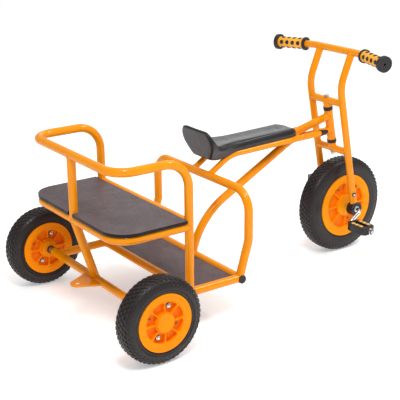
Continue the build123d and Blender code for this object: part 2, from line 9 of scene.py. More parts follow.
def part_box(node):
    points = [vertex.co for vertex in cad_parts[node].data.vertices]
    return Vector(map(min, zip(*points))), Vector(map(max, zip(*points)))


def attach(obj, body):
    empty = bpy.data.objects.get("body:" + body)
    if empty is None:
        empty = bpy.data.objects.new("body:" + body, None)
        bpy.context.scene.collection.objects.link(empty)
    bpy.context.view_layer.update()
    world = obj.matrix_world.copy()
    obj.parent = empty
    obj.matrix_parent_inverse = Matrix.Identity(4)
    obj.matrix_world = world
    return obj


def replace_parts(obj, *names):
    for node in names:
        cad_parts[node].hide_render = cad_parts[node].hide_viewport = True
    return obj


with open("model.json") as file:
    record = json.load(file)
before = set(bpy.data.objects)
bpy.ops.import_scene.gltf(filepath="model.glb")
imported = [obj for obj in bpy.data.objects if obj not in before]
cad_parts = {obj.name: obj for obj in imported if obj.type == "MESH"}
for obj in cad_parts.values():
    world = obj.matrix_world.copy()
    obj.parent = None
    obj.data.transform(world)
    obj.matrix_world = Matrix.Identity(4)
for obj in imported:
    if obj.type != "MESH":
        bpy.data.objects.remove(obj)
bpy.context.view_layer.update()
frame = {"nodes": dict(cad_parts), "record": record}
nodes = frame["nodes"]

# A toddler tricycle with a rear passenger bench. Lengths are in metres. X points forward, Y to the rider's
# left and Z up. The origin is on the floor, at the middle of the vehicle's length.
X, Y, Z = Vector((1, 0, 0)), Vector((0, 1, 0)), Vector((0, 0, 1))
SIDES = {"left": 1, "right": -1}

# Wheels
REAR_X, FRONT_X = -0.488, 0.450
REAR_R, FRONT_R = 0.122, 0.160
REAR_WHEEL_Y = 0.329
REAR_HALF, FRONT_HALF = 0.0345, 0.0355
REAR_RIM_R, FRONT_RIM_R = 0.0815, 0.1055
FLANGE_IN = 0.001  # how far the rim's flange lies inside the tyre's width
WHEELS = {
    # node stem: body, centre, tyre radius, half the tyre's width, rim radius
    "rear_%s_left": ("rear_wheel_left", Vector((REAR_X, REAR_WHEEL_Y, REAR_R)),
                     REAR_R, REAR_HALF, REAR_RIM_R),
    "rear_%s_right": ("rear_wheel_right", Vector((REAR_X, -REAR_WHEEL_Y, REAR_R)),
                      REAR_R, REAR_HALF, REAR_RIM_R),
    "front_%s": ("front_wheel", Vector((FRONT_X, 0, FRONT_R)),
                 FRONT_R, FRONT_HALF, FRONT_RIM_R),
}

# Middle lines of the frame's tubes, and the tubes' radii
SIDE_Y, LOW_Z = 0.2355, 0.120
FOOT_REAR_X, FOOT_FRONT_X = -0.317, -0.151
ARCH_X, ARCH_Z, ARCH_KNEE_Z = -0.119, 0.372, 0.228
POST_X, BENCH_REAR_X = -0.324, -0.549
BENCH_TUBE_Z, SEAT_FRAME_Z, HAND_RAIL_Z = 0.3255, 0.3165, 0.503
SADDLE_RAIL_Y, SADDLE_RAIL_RUN = 0.040, Vector((0.081, 0, 0.050))
MAIN_FOOT_X, MAIN_FOOT_Z = FOOT_FRONT_X + 0.029, LOW_Z + 0.108
MAIN_KNEE_BACK, MAIN_KNEE_DROP, TOP_KNEE_OFF = 0.216, 0.003, Vector((0.016, 0, 0.020))
FRAME_R, FORK_R, RAIL_R, HEAD_TUBE_R = 0.0125, 0.0115, 0.009, 0.014

# Fork and handlebar, along the raked steering axis from the front axle
RAKE = math.radians(10.9)
LEG_Y = 0.072
SCREW_ALONG, CROSS_LOW, MAIN_ALONG, TOP_ALONG, CROSS_HIGH = 0.054, 0.202, 0.2648, 0.3158, 0.3696
LEG_KNEE_ABOVE = 0.058  # over the upper cross tube
BAR_ALONG, BAR_FORWARD = 0.5216, 0.061
BAR_STRAIGHT, BAR_SWEEP = 0.028, Vector((-0.0305, 0.140, -0.007))

CRANK_R, CRANK_ANGLE = 0.064, math.radians(25)
CRANK_ARM = Vector((CRANK_R * math.cos(CRANK_ANGLE), 0, CRANK_R * math.sin(CRANK_ANGLE)))


def steer(along, y=0.0, forward=0.0):
    """A point along the steering axis from the front axle, and forward of it."""
    return Vector((FRONT_X - along * math.sin(RAKE) + forward * math.cos(RAKE), y,
                   FRONT_R + along * math.cos(RAKE) + forward * math.sin(RAKE)))


def clamp(value, low, high):
    return min(high, max(low, value))


# Materials

MILD = (0.35, 0.65)  # where noise turns from one colour to another in soft clouds
PAINT_SCUFF = (0.66, 0.20, 0.004)
# Depth under the rim's flange where its painted pocket shade begins, and where it is full
POCKET_SHADE_START, POCKET_SHADE_END = 0.003, 0.015
# The boards' pressed mesh and their plies, in radians a metre, and how far the mesh's diamonds are squashed
MESH_WAVES, PLY_WAVES, MESH_SQUASH = 760.0, 2300.0, 0.7


class Finish:
    """A procedural material, built node by node round one shader."""

    def __init__(self, name, **fixed):
        self.material = bpy.data.materials.new(name)
        self.material.use_nodes = True
        self.tree = self.material.node_tree
        self.shader = self.tree.nodes["Principled BSDF"]
        self.place = self.add("TexCoord").outputs["Object"]
        self.normal = None
        for socket, value in fixed.items():
            self.shader.inputs[socket.replace("_", " ")].default_value = value

    def add(self, kind, inputs=(), **settings):
        node = self.tree.nodes.new("ShaderNode" + kind)
        for key, value in settings.items():
            setattr(node, key, value)
        for key, value in dict(inputs).items():
            self.give(node.inputs[key], value)
        return node

    def give(self, socket, value):
        if isinstance(value, bpy.types.NodeSocket):
            self.tree.links.new(value, socket)
        else:
            socket.default_value = value

    def noise(self, scale, detail=2.0, roughness=0.5):
        return self.add("TexNoise", {"Vector": self.place, "Scale": scale, "Detail": detail,
                                     "Roughness": roughness}).outputs["Fac"]

    def cells(self, scale):
        return self.add("TexVoronoi", {"Vector": self.place, "Scale": scale}).outputs["Distance"]

    def map(self, value, low, high, start=0.0, end=1.0):
        return self.add("MapRange", {"Value": value, "From Min": low, "From Max": high, "To Min": start,
                                     "To Max": end}, interpolation_type="SMOOTHSTEP").outputs["Result"]

    def math(self, operation, a, b=0.0):
        return self.add("Math", {0: a, 1: b}, operation=operation).outputs[0]

    def mix(self, share, a, b):
        node = self.add("Mix", data_type="RGBA")
        self.give(node.inputs[0], share)
        for socket, value in ((node.inputs[6], a), (node.inputs[7], b)):
            self.give(socket, (*value, 1.0) if isinstance(value, tuple) else value)
        return node.outputs[2]

    def axis(self, index, vector=None):
        return self.add("SeparateXYZ", {0: vector or self.place}).outputs[index]

    def ripple(self, line, waves):
        """Waves along a line, all of them positive."""
        return self.math("ABSOLUTE", self.math("SINE", self.math("MULTIPLY", line, waves)))

    def round_edges(self, radius):
        """Catches light along edges as if they had this radius."""
        self.normal = self.add("Bevel", {"Radius": radius}, samples=4).outputs[0]
        self.give(self.shader.inputs["Normal"], self.normal)

    def colour(self, value):
        self.give(self.shader.inputs["Base Color"], value)

    def roughness(self, scale, detail, least, most):
        """Roughness that wanders between two values."""
        wander = self.map(self.noise(scale, detail), 0.3, 0.7, least, most)
        self.give(self.shader.inputs["Roughness"], wander)

    def bump(self, height, distance, strength):
        inputs = {"Height": height, "Distance": distance, "Strength": strength}
        if self.normal:
            inputs["Normal"] = self.normal
        self.normal = self.add("Bump", inputs).outputs[0]
        self.give(self.shader.inputs["Normal"], self.normal)


def shade(hex_colour):
    """A linear colour from its usual six digits."""
    parts = [int(hex_colour[i:i + 2], 16) / 255 for i in (0, 2, 4)]
    return tuple(c / 12.92 if c <= 0.04045 else ((c + 0.055) / 1.055) ** 2.4 for c in parts)


def paint(name, base, deep):
    """Powder coat: a faint orange peel, clouds of a deeper tone and small scuffs."""
    f = Finish(name, Coat_Weight=0.5, Coat_Roughness=0.08, IOR=1.45, Specular_IOR_Level=0.03)
    f.round_edges(0.0012)
    coat = f.mix(f.map(f.noise(9.0, 3.0), *MILD), base, deep)
    scuff = f.map(f.noise(160.0, 5.0, 0.7), 0.66, 0.74)
    f.colour(f.mix(f.math("MULTIPLY", scuff, 0.25), coat, PAINT_SCUFF))
    f.roughness(40.0, 4.0, 0.2, 0.3)
    f.bump(f.noise(900.0), 0.00018, 0.35)
    return f.material


def moulded(name, base, deep, rough=(0.3, 0.45), grain=2200.0):
    """Satin moulded plastic with a fine spark-eroded grain."""
    f = Finish(name, IOR=1.46, Specular_IOR_Level=0.4)
    f.round_edges(0.001)
    f.colour(f.mix(f.map(f.noise(22.0, 3.0), *MILD), base, deep))
    f.roughness(90.0, 4.0, *rough)
    f.bump(f.noise(grain), 0.00012, 0.5)
    return f.material


def rubber(name, base, dust, rough):
    """Rubber with a dusty bloom in patches."""
    f = Finish(name, IOR=1.5, Specular_IOR_Level=0.35)
    bloom = f.map(f.noise(35.0, 6.0, 0.62), 0.5, 0.8)
    f.colour(f.mix(f.math("MULTIPLY", bloom, 0.5), base, dust))
    f.roughness(120.0, 3.0, *rough)
    f.bump(f.noise(1500.0, 3.0), 0.0002, 0.5)
    return f.material


def saddle_skin(name, base, deep):
    """Dark self-skinned foam with a satin sheen and a leather-like grain."""
    f = Finish(name, IOR=1.5, Specular_IOR_Level=0.24, Coat_Weight=0.3, Coat_Roughness=0.13)
    f.colour(f.mix(f.map(f.noise(16.0, 4.0), *MILD), base, deep))
    f.roughness(60.0, 4.0, 0.3, 0.4)
    f.bump(f.cells(650.0), 0.00025, 0.35)
    return f.material


def rim_plastic(name, centre_y, half, pocket_shade_green, tone):
    """Orange moulded plastic with painted shade and bounce light in its pockets, which turn it redder deeper
    in.
    The fourth argument is the green of the pockets' painted shade, tone the flange's own green, and half is
    the flange's distance from the wheel's middle."""
    f = Finish(name, IOR=1.46, Specular_IOR_Level=0.1)
    f.round_edges(0.0012)
    depth = f.math("SUBTRACT", half, f.math("ABSOLUTE", f.math("SUBTRACT", f.axis(1), centre_y)))
    base = f.mix(f.map(f.noise(18.0, 3.0), *MILD), (0.93, tone, 0.0), (0.90, tone - 0.022, 0.0))
    # Painted shade and bounce light: deeper in the pockets the colour turns a brighter red with less green
    f.colour(f.mix(f.map(depth, POCKET_SHADE_START, POCKET_SHADE_END), base, (0.98, pocket_shade_green, 0.002)))
    f.roughness(70.0, 4.0, 0.3, 0.42)
    f.bump(f.noise(1800.0), 0.0001, 0.5)
    return f.material


def steel(name, base, rough):
    """Plated steel with fine turning marks and a few dull spots."""
    f = Finish(name, Metallic=1.0)
    f.colour(f.mix(f.map(f.noise(200.0, 4.0), 0.4, 0.7), base, tuple(0.7 * c for c in base)))
    f.roughness(500.0, 3.0, *rough)
    f.bump(f.noise(1300.0), 0.00008, 0.4)
    return f.material


def board(name):
    """Film-faced plywood: a fine pressed mesh on its faces, and dark sealed edges."""
    f = Finish(name, IOR=1.45, Specular_IOR_Level=0.25)
    up = f.math("ABSOLUTE", f.axis(2, f.add("NewGeometry").outputs["True Normal"]))
    face = f.map(up, 0.5, 0.9)
    x, y = f.axis(0), f.axis(1)
    slants = [f.ripple(f.math("ADD", x, f.math("MULTIPLY", y, slant)), MESH_WAVES)
              for slant in (MESH_SQUASH, -MESH_SQUASH)]
    mesh = f.map(f.math("MINIMUM", *slants), 0.0, 0.5, 1.0, 0.0)
    film = f.mix(f.map(f.noise(7.0, 4.0), 0.3, 0.7), shade("463a3c"), shade("3b3035"))
    film = f.mix(f.math("MULTIPLY", mesh, 0.9), film, shade("87787a"))
    scuff = f.map(f.noise(60.0, 6.0, 0.7), 0.62, 0.72)
    film = f.mix(f.math("MULTIPLY", scuff, 0.25), film, shade("8f8684"))
    plies = f.ripple(f.axis(2), PLY_WAVES)
    edge = f.mix(f.math("MULTIPLY", plies, 0.5), shade("14100f"), shade("1d1714"))
    f.colour(f.mix(face, edge, film))
    f.roughness(30.0, 4.0, 0.38, 0.5)
    f.bump(f.math("MULTIPLY", mesh, face), 0.00035, 0.6)
    f.bump(f.noise(800.0, 3.0), 0.0001, 0.4)
    return f.material


FINISHES = {
    "frame_paint": paint("FramePaint", (0.85, 0.285, 0.0), (0.82, 0.265, 0.0)),
    "fork_paint": paint("ForkPaint", (0.85, 0.290, 0.0), (0.82, 0.270, 0.0)),
    "weld": paint("WeldPaint", (0.87, 0.275, 0.0), (0.80, 0.24, 0.0)),
    "black_plastic": moulded("BlackPlastic", shade("232224"), shade("1c1b1d")),
    "black_rubber": rubber("BlackRubber", shade("292729"), shade("393637"), (0.45, 0.6)),
    "yellow_rubber": moulded("YellowRubber", shade("f6b033"), shade("efa428"), (0.35, 0.5), 1400.0),
    "pad_rubber": moulded("PadRubber", shade("f3c671"), shade("ebb95f"), (0.4, 0.55), 1400.0),
    "tyre": rubber("TyreRubber", shade("231d1d"), shade("3a3232"), (0.32, 0.48)),
    "saddle": saddle_skin("SaddleSkin", (0.016, 0.0145, 0.0165), (0.011, 0.0105, 0.012)),
    "deck_board": board("DeckBoard"),
    "steel": steel("Steel", (0.62, 0.62, 0.63), (0.25, 0.4)),
    "chrome_steel": steel("ChromeSteel", (0.86, 0.86, 0.88), (0.06, 0.14)),
    "dull_steel": steel("DullSteel", (0.33, 0.29, 0.26), (0.35, 0.5)),
    "worn_screw": steel("WornScrew", (0.50, 0.24, 0.09), (0.4, 0.55)),
}
for stem, (body, centre, r, half, rim_r) in WHEELS.items():
    # the greens of each rim's painted pocket shade and of its flange
    pocket_shade_green, tone = (0.24, 0.310) if body == "front_wheel" else (0.225, 0.278)
    FINISHES[stem % "rim"] = rim_plastic("RimPlastic_" + body, centre.y, half - FLANGE_IN, pocket_shade_green, tone)

# A node takes the finish of its own name, or else its material slot's
slot_of = {row["node"]: row["material_slot"] for row in frame["record"]["subparts"]}
for name, node in nodes.items():
    node.data.materials.clear()
    node.data.materials.append(FINISHES.get(name, FINISHES.get(slot_of[name], FINISHES["frame_paint"])))
for side in SIDES:
    nodes["hub_cap_" + side].data.materials[0] = FINISHES["rear_rim_" + side]


# Mesh helpers

def piece(name, verts, faces, body, finish, slot):
    """A smooth-shaded mesh in the row frame that rides on a body."""
    mesh = bpy.data.meshes.new(name)
    mesh.from_pydata([tuple(v) for v in verts], [], faces)
    mesh.update()
    for polygon in mesh.polygons:
        polygon.use_smooth = True
    mesh.materials.append(FINISHES[finish])
    thing = bpy.data.objects.new(name, mesh)
    bpy.context.scene.collection.objects.link(thing)
    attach(thing, body)
    return thing


def joined(parts):
    """One list of points and one of faces from several."""
    verts, faces = [], []
    for more_verts, more_faces in parts:
        base = len(verts)
        verts += more_verts
        faces += [tuple(i + base for i in face) for face in more_faces]
    return verts, faces


def hardware(name, parts, body, finish, slot, sharp=math.radians(35)):
    """One piece of several closed forms, whose shading breaks at sharp edges."""
    thing = piece(name, *joined(parts), body, finish, slot)
    bm = bmesh.new()
    bm.from_mesh(thing.data)
    for edge in bm.edges:
        edge.smooth = len(edge.link_faces) == 2 and edge.calc_face_angle() < sharp
    bm.to_mesh(thing.data)
    bm.free()


def bridge(one, two, count):
    """Faces between two closed rings of points, which start at these indices."""
    return [(one + k, one + (k + 1) % count, two + (k + 1) % count, two + k) for k in range(count)]


def frame_of(direction):
    """Two unit vectors at right angles to a direction and to each other."""
    d = direction.normalized()
    u = d.cross(Y if abs(d.y) < 0.9 else X).normalized()
    return u, d.cross(u)


def turned(origin, direction, profile, segments):
    """A closed body of revolution from (distance along, radius) pairs, its ends at radius 0."""
    d = direction.normalized()
    u, v = frame_of(d)
    verts, faces, starts = [], [], []
    for along, r in profile:
        starts.append(len(verts))
        if r == 0:
            verts.append(origin + d * along)
            continue
        for k in range(segments):
            a = 2 * math.pi * k / segments
            verts.append(origin + d * along + (u * math.cos(a) + v * math.sin(a)) * r)
    for i, (one, two) in enumerate(zip(starts, starts[1:])):
        if profile[i][1] == 0:
            faces += [(one, two + (k + 1) % segments, two + k) for k in range(segments)]
        elif profile[i + 1][1] == 0:
            faces += [(one + k, one + (k + 1) % segments, two) for k in range(segments)]
        else:
            faces += bridge(one, two, segments)
    return verts, faces


# Saddle

SADDLE_VOXEL, SADDLE_PASSES = 0.0019, 5
FOLD_X, FOLD_REACH, FOLD_PASSES = -0.105, 0.045, 30
# The raised back: where it starts and how far on it is full, its foot and top, and how its sides bulge
BACK_START_X, BACK_EASE = -0.096, 0.030
BACK_FOOT_Z, BACK_TOP_Z = 0.414, 0.512
BACK_BULGE, BACK_SIDE_Y = 0.013, 0.05
# Smoothing passes on all that lies forward of each X
NOSE_ROUNDS = ((0.195, 15), (0.210, 25), (0.222, 30))
# The ridge along each side, as pairs of X and Z
SHOULDER_LINE = ((-0.081, 0.453), (-0.053, 0.450), (-0.007, 0.452), (0.045, 0.4545), (0.103, 0.4567),
                 (0.215, 0.461))
RIDGE, RIDGE_WIDTH, RIDGE_FADE = 0.0026, 0.0036, 0.02
# Moulding marks: middle, radius and depth
DIMPLES = ((Vector((-0.023, 0, 0.461)), 0.0045, 0.0022), (Vector((0.174, 0, 0.464)), 0.0045, 0.0022),
           (Vector((-0.151, 0, 0.484)), 0.0028, 0.0022))


def smooth(bm, verts, times, sideways=True):
    for _ in range(times):
        bmesh.ops.smooth_vert(bm, verts=verts, factor=0.5, use_axis_x=True, use_axis_y=sideways,
                              use_axis_z=True)


def saddle():
    """The moulding with its edges eased, its fold softened, and ridges and small moulding marks."""
    rough = bpy.data.objects.new("saddle_rough", nodes["saddle"].data.copy())
    bpy.context.scene.collection.objects.link(rough)
    remesh = rough.modifiers.new("even", "REMESH")
    remesh.mode, remesh.voxel_size = "VOXEL", SADDLE_VOXEL
    bpy.context.view_layer.update()
    mesh = bpy.data.meshes.new_from_object(rough.evaluated_get(bpy.context.evaluated_depsgraph_get()))
    bpy.data.objects.remove(rough)
    bm = bmesh.new()
    bm.from_mesh(mesh)
    smooth(bm, bm.verts, SADDLE_PASSES)
    smooth(bm, [v for v in bm.verts if abs(v.co.x - FOLD_X) < FOLD_REACH], FOLD_PASSES, sideways=False)
    for v in bm.verts:
        share = clamp((BACK_START_X - v.co.x) / BACK_EASE, 0.0, 1.0)
        high = clamp((v.co.z - BACK_FOOT_Z) / (BACK_TOP_Z - BACK_FOOT_Z), 0.0, 1.0)
        v.co.y += BACK_BULGE * share * math.sin(math.pi * high) * clamp(v.co.y / BACK_SIDE_Y, -1.0, 1.0)
    for from_x, times in NOSE_ROUNDS:
        smooth(bm, [v for v in bm.verts if v.co.x > from_x], times)
    bm.normal_update()
    moves = []
    for v in bm.verts:
        for (x0, z0), (x1, z1) in zip(SHOULDER_LINE, SHOULDER_LINE[1:]):
            if x0 <= v.co.x < x1 and abs(v.normal.y) > 0.5:
                off = v.co.z - (z0 + (z1 - z0) * (v.co.x - x0) / (x1 - x0))
                ends = min(1.0, (v.co.x - SHOULDER_LINE[0][0]) / RIDGE_FADE,
                           (SHOULDER_LINE[-1][0] - v.co.x) / RIDGE_FADE)
                moves.append((v, v.normal * RIDGE * ends * math.exp(-(off / RIDGE_WIDTH) ** 2)))
    for middle, radius, depth in DIMPLES:
        for v in bm.verts:
            away = (v.co - middle).length
            if away < 3 * radius:
                moves.append((v, v.normal * -depth * math.exp(-(away / radius) ** 2)))
    for v, move in moves:
        v.co += move
    bm.verts.index_update()
    verts = [v.co.copy() for v in bm.verts]
    faces = [tuple(v.index for v in face.verts) for face in bm.faces]
    bm.free()
    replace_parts(piece("saddle_skin", verts, faces, "frame", "saddle", "black_plastic"), "saddle")


saddle()


# Tyres

TREAD, TREAD_PITCH = 0.0025, 0.0162
# Rows of diamond blocks: place across the tyre as a share of its half width, length, breadth and height
TREAD_ROWS = ((0.0, 0.0136, 0.0102, TREAD), (0.28, 0.0136, 0.0102, TREAD), (0.56, 0.0136, 0.0102, TREAD),
              (0.80, 0.0124, 0.0088, 0.6 * TREAD), (0.945, 0.0090, 0.0085, 0.4 * TREAD))
BLOCK = ((0.5, 0), (0.12, 0.5), (-0.12, 0.5), (-0.5, 0), (-0.12, -0.5), (0.12, -0.5))
# A block's root below the floor, its eased edge as a share of its height, and its size at root, edge and top
BLOCK_ROOT, BLOCK_EDGE, BLOCK_SIZES = 0.0012, 0.72, (1.04, 0.98, 0.80)
CROWN_SHARES = (1.0, 0.93, 0.83, 0.68, 0.5, 0.27, 0.0)
# The tread floor's drop towards the shoulder, and how its edge is drawn in
CROWN_DROP, CROWN_POWER = 0.0165, 3.4
EDGE_PULL, EDGE_POWER = 0.12, 6
# The sidewall from the rim out: first height over the rim's edge, then share of the way to the shoulder,
# each with its depth inside the tyre's half width
BEAD = ((-0.005, 0.0075), (0.0002, 0.0052), (0.0022, 0.0022), (0.0055, 0.0012), (0.0078, 0.0004),
        (0.0092, 0.0012))
SIDEWALL = ((0.35, 0.0006), (0.68, 0.0008))
TYRE_SEGMENTS = 120


def crown(share, r, half):
    """Radius and place across the tyre on its tread's floor, and the outward direction there."""
    s = abs(share)
    side = math.copysign(1, share)
    y = half * (s - EDGE_PULL * s ** EDGE_POWER)
    drop = CROWN_DROP * s ** CROWN_POWER
    down = CROWN_DROP * CROWN_POWER * s ** (CROWN_POWER - 1)
    sideways = half * (1 - EDGE_PULL * EDGE_POWER * s ** (EDGE_POWER - 1))
    n = Vector((1, down / sideways)).normalized()
    return r - TREAD - drop, y * side, n.x, n.y * side


def tread_block(centre, angle, share, r, half, length, breadth, height):
    """One diamond block that stands on the tread's floor."""
    radius, y, nr, ny = crown(share, r, half)
    out = Vector((math.cos(angle), 0, math.sin(angle)))
    along = Vector((-math.sin(angle), 0, math.cos(angle)))
    up = out * nr + Vector((0, ny, 0))
    across = out * -ny + Vector((0, nr, 0))
    foot = centre + out * radius + Vector((0, y, 0))
    verts = []
    for size, lift in zip(BLOCK_SIZES, (-BLOCK_ROOT, height * BLOCK_EDGE, height)):
        for c, d in BLOCK:
            sink = (c * length) ** 2 / (2 * radius) if lift > 0 else 0
            verts.append(foot + along * (c * length * size) + across * (d * breadth * size)
                         + up * (lift - sink))
    corners = len(BLOCK)
    faces = bridge(0, corners, corners) + bridge(corners, 2 * corners, corners)
    return verts, faces + [tuple(range(2 * corners, 3 * corners))]


def tyre(stem, body, centre, r, half, rim_r):
    """A tyre with its bead, sidewalls and road tread, smooth but for the blocks."""
    shoulder_r = crown(1.0, r, half)[0]
    profile = [(rim_r + high, half - inside) for high, inside in BEAD]
    profile += [(rim_r + share * (shoulder_r - rim_r), half - inside) for share, inside in SIDEWALL]
    profile += [crown(share, r, half)[:2] for share in CROWN_SHARES]
    profile += [(radius, -y) for radius, y in profile[-2::-1]]
    count = len(profile)
    verts, faces = [], []
    for k in range(TYRE_SEGMENTS):
        a = 2 * math.pi * k / TYRE_SEGMENTS
        verts += [centre + Vector((radius * math.cos(a), y, radius * math.sin(a))) for radius, y in profile]
        faces += bridge(k * count, (k + 1) % TYRE_SEGMENTS * count, count)
    forms = [(verts, faces)]
    number = 2 * round(math.pi * r / TREAD_PITCH)
    for i, (share, length, breadth, height) in enumerate(TREAD_ROWS):
        for sign in (1, -1) if share else (1,):
            for k in range(number):
                angle = 2 * math.pi * (k + 0.5 * (i % 2)) / number
                forms.append(tread_block(centre, angle, sign * share, r, half, length, breadth, height))
    thing = piece((stem % "tyre") + "_tread", *joined(forms), body, "tyre", "tyre")
    for polygon in thing.data.polygons[len(faces):]:
        polygon.use_smooth = False
    bm = bmesh.new()
    bm.from_mesh(thing.data)
    bmesh.ops.recalc_face_normals(bm, faces=bm.faces)
    bm.to_mesh(thing.data)
    bm.free()
    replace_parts(thing, stem % "tyre")


for stem, (body, centre, r, half, rim_r) in WHEELS.items():
    tyre(stem, body, centre, r, half, rim_r)


# Rim bolts

BOLT_CIRCLE = 0.55  # as a share of the rim's radius
POCKET_DEPTH = 0.014
FIRST_BOLT, FIRST_FRONT_SCREW = 67.5, 112.5
SCREW_SCALE = 0.6
BOLT_SEGMENTS = 24
# A dark ring of black plastic under each bright bolt's head: painted shade round the head in its pocket
BOLT_SHADE_RING = ((-0.001, 0), (-0.001, 0.0080), (0.0012, 0.0078), (0.0018, 0.0072), (0.0018, 0))
SHADE_RING_TOP = 0.0018
BOLT_HEAD = ((0, 0), (0, 0.0062), (0.0011, 0.0062), (0.0013, 0.0058), (0.0013, 0.005), (0.0038, 0.0048),
             (0.0052, 0.0036), (0.0058, 0.0018), (0.0059, 0))
SCREW_HEAD = [(along * SCREW_SCALE, across * SCREW_SCALE) for along, across in BOLT_HEAD]

# On each face a rear wheel has two bright bolts, each on a dark ring of painted shade, and two small worn
# screws between them, and the front wheel two such screws
for stem, (body, centre, r, half, rim_r) in WHEELS.items():
    front = body == "front_wheel"
    shade_rings, bolts, screws = [], [], []
    for face in (1, -1):
        for quarter in (0, 2) if front else (0, 1, 2, 3):
            a = math.radians((FIRST_FRONT_SCREW if front else FIRST_BOLT) + 90 * quarter)
            seat = centre + Vector((rim_r * BOLT_CIRCLE * math.cos(a),
                                    face * (half - FLANGE_IN - POCKET_DEPTH),
                                    rim_r * BOLT_CIRCLE * math.sin(a)))
            out = Y * face
            if front or quarter % 2:
                screws.append(turned(seat + out * SHADE_RING_TOP, out, SCREW_HEAD, BOLT_SEGMENTS))
            else:
                # a dark ring of painted shade under the bolt
                shade_rings.append(turned(seat, out, BOLT_SHADE_RING, BOLT_SEGMENTS))
                bolts.append(turned(seat + out * SHADE_RING_TOP, out, BOLT_HEAD, BOLT_SEGMENTS))
    if not front:
        hardware("bolt_shade_rings_" + body, shade_rings, body, "black_plastic", "black_plastic")
        hardware("rim_bolts_" + body, bolts, body, "chrome_steel", "chrome_steel")
    hardware("rim_screws_" + body, screws, body, "worn_screw", "steel")


# Welds

BEAD_R, BEAD_RIPPLE, BEAD_WAVE, BEAD_REACH = 0.0017, 0.16, 0.9, 0.06
BEAD_SEGMENTS, BEAD_AROUND = 56, 8


def weld(start, direction, other, other_direction, r=FRAME_R, other_r=FRAME_R):
    """A rippled bead where a tube that runs along direction from start leaves another tube."""
    d, e = direction.normalized(), other_direction.normalized()
    u, v = frame_of(d)
    points = []
    for k in range(BEAD_SEGMENTS):
        a = 2 * math.pi * k / BEAD_SEGMENTS
        side = start + (u * math.cos(a) + v * math.sin(a)) * r
        # how far along the tube's surface the other tube's surface is, from a quadratic equation
        w = (side - other) - e * (side - other).dot(e)
        q = d - e * d.dot(e)
        qa, qb, qc = q.dot(q), 2 * w.dot(q), w.dot(w) - other_r ** 2
        along = (-qb + math.sqrt(max(0.0, qb * qb - 4 * qa * qc))) / (2 * qa)
        points.append((side + d * min(along, BEAD_REACH), (side - start).normalized()))
    verts, faces = [], []
    for k, (p, n) in enumerate(points):
        following = (k + 1) % BEAD_SEGMENTS
        t = (points[following][0] - points[k - 1][0]).normalized()
        m = t.cross(n).normalized()
        swell = BEAD_R * (1.0 + BEAD_RIPPLE * math.sin(k * math.pi * BEAD_WAVE))
        for j in range(BEAD_AROUND):
            b = 2 * math.pi * j / BEAD_AROUND
            verts.append(p + n * (math.cos(b) * swell) + m * (math.sin(b) * swell))
        faces += bridge(k * BEAD_AROUND, following * BEAD_AROUND, BEAD_AROUND)
    return verts, faces


frame_welds, fork_welds = [], []
steering_axis = steer(1) - steer(0)
bar_middle, leg_knee = steer(BAR_ALONG, 0, BAR_FORWARD), steer(CROSS_HIGH + LEG_KNEE_ABOVE)
rail_run = Vector((FOOT_FRONT_X - REAR_X, 0, LOW_Z - REAR_R)).normalized()
arch_run = Vector((ARCH_X - FOOT_FRONT_X, 0, ARCH_KNEE_Z - LOW_Z))
arch_top = Vector((ARCH_X, 0, ARCH_Z))
for side in SIDES.values():
    y = SIDE_Y * side
    foot_front, foot_rear = Vector((FOOT_FRONT_X, y, LOW_Z)), Vector((FOOT_REAR_X, y, LOW_Z))
    post_foot = Vector((POST_X, y, LOW_Z))
    frame_welds += [
        weld(Vector((REAR_X, y, REAR_R)), rail_run, Vector((REAR_X, 0, REAR_R)), Y),
        weld(foot_front, -rail_run, Vector((FOOT_FRONT_X, 0, LOW_Z)), Y),
        weld(foot_rear, Y * -side, foot_rear, X),
        weld(foot_front, arch_run, foot_front, Y),
        weld(post_foot, Z, post_foot, X),
        weld(Vector((POST_X, y, BENCH_TUBE_Z)), Y * -side, Vector((POST_X, y, 0)), Z),
        weld(Vector((POST_X, y, SEAT_FRAME_Z)), -X, Vector((POST_X, y, 0)), Z),
        weld(arch_top + Y * (SADDLE_RAIL_Y * side), SADDLE_RAIL_RUN, arch_top, Y, RAIL_R),
    ]
    leg = Y * (LEG_Y * side)
    fork_welds.append(weld(bar_middle + leg, leg_knee - bar_middle, bar_middle, Y, FORK_R, FORK_R))
    for along in (CROSS_LOW, CROSS_HIGH):
        end = steer(along) + leg
        fork_welds.append(weld(end, Y * -side, end, steering_axis, FORK_R, FORK_R))

hand_rail = Vector((BENCH_REAR_X, 0, HAND_RAIL_Z))
bench_rear = Vector((BENCH_REAR_X, 0, SEAT_FRAME_Z))
rear_axle = Vector((REAR_X, 0, REAR_R))
foot_front = Vector((FOOT_FRONT_X, 0, LOW_Z))
main_foot = Vector((MAIN_FOOT_X, 0, MAIN_FOOT_Z))
main_top, top_end = steer(MAIN_ALONG), steer(TOP_ALONG)
main_knee = Vector((FRONT_X - MAIN_KNEE_BACK, 0, main_top.z - MAIN_KNEE_DROP))
top_knee = main_knee + TOP_KNEE_OFF
frame_welds += [
    weld(hand_rail, -Z, hand_rail, Y),
    weld(bench_rear, Z, bench_rear, Y),
    weld(bench_rear, rear_axle - bench_rear, bench_rear, Y),
    weld(rear_axle, bench_rear - rear_axle, rear_axle, Y),
    weld(foot_front, main_foot - foot_front, foot_front, Y),
    weld(main_top, main_knee - main_top, main_top, steering_axis, FRAME_R, HEAD_TUBE_R),
    weld(top_end, top_knee - top_end, top_end, steering_axis, FRAME_R, HEAD_TUBE_R),
]
piece("frame_welds", *joined(frame_welds), "frame", "weld", "frame_paint")
piece("fork_welds", *joined(fork_welds), "fork", "weld", "fork_paint")


# Grips

SLEEVE_ALONG, SLEEVE_R, SLEEVE_GAP = 0.041, 0.0175, 0.002
DOT_R, DOT_PITCH, DOT_COLUMNS, DOT_ROWS, DOT_TURN = 0.0070, 0.0222, 4, 5, 0.45
# Rings of a dot, as size and height over the sleeve, and the height of its middle
DOT_RINGS = ((1.0, -0.0005), (1.0, 0.0005), (0.85, 0.0009), (0.45, 0.0011))
DOT_TOP, DOT_SEGMENTS = 0.0012, 20

